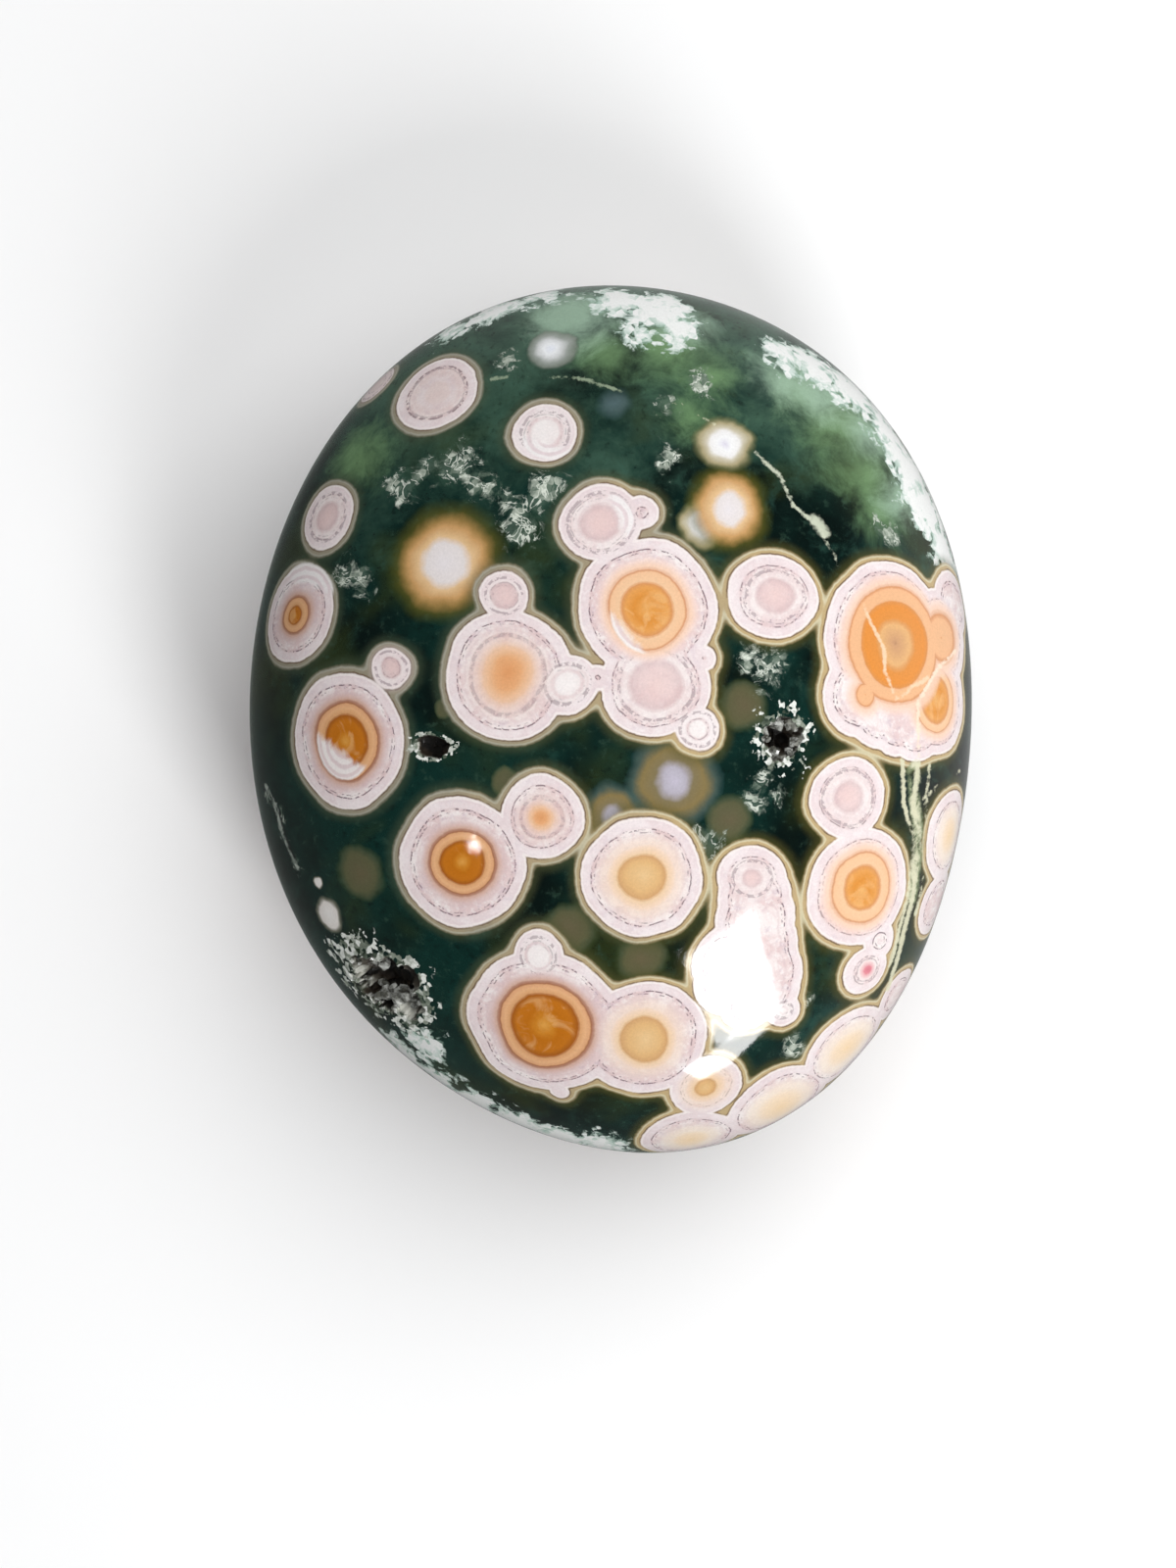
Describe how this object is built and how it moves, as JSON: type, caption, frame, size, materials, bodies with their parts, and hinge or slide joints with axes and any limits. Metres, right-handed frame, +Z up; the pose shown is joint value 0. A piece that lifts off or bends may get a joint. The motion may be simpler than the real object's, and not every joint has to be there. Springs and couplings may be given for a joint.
{
  "type": "ocean jasper palm stone",
  "caption": "Polished, flattened egg-shaped palm stone of orbicular jasper with two small crystal-lined hollows, resting on a small flat spot.",
  "frame": {"origin": "on the surface the stone rests on, under the middle of its box", "axes": "+X across the broad face, +Y along the stone's length, +Z up out of the broad face with the hollows"},
  "size_m": [0.06, 0.0722, 0.035],
  "materials": {
    "jasper": "high polish, dark green with white and orange orbs",
    "quartz_crystals": "natural crystal faces, clear to greyish white"
  },
  "bodies": {
    "root": {"stone": "jasper", "large_vug_crystals": "quartz_crystals", "small_vug_crystals": "quartz_crystals"}
  },
  "joints": []
}
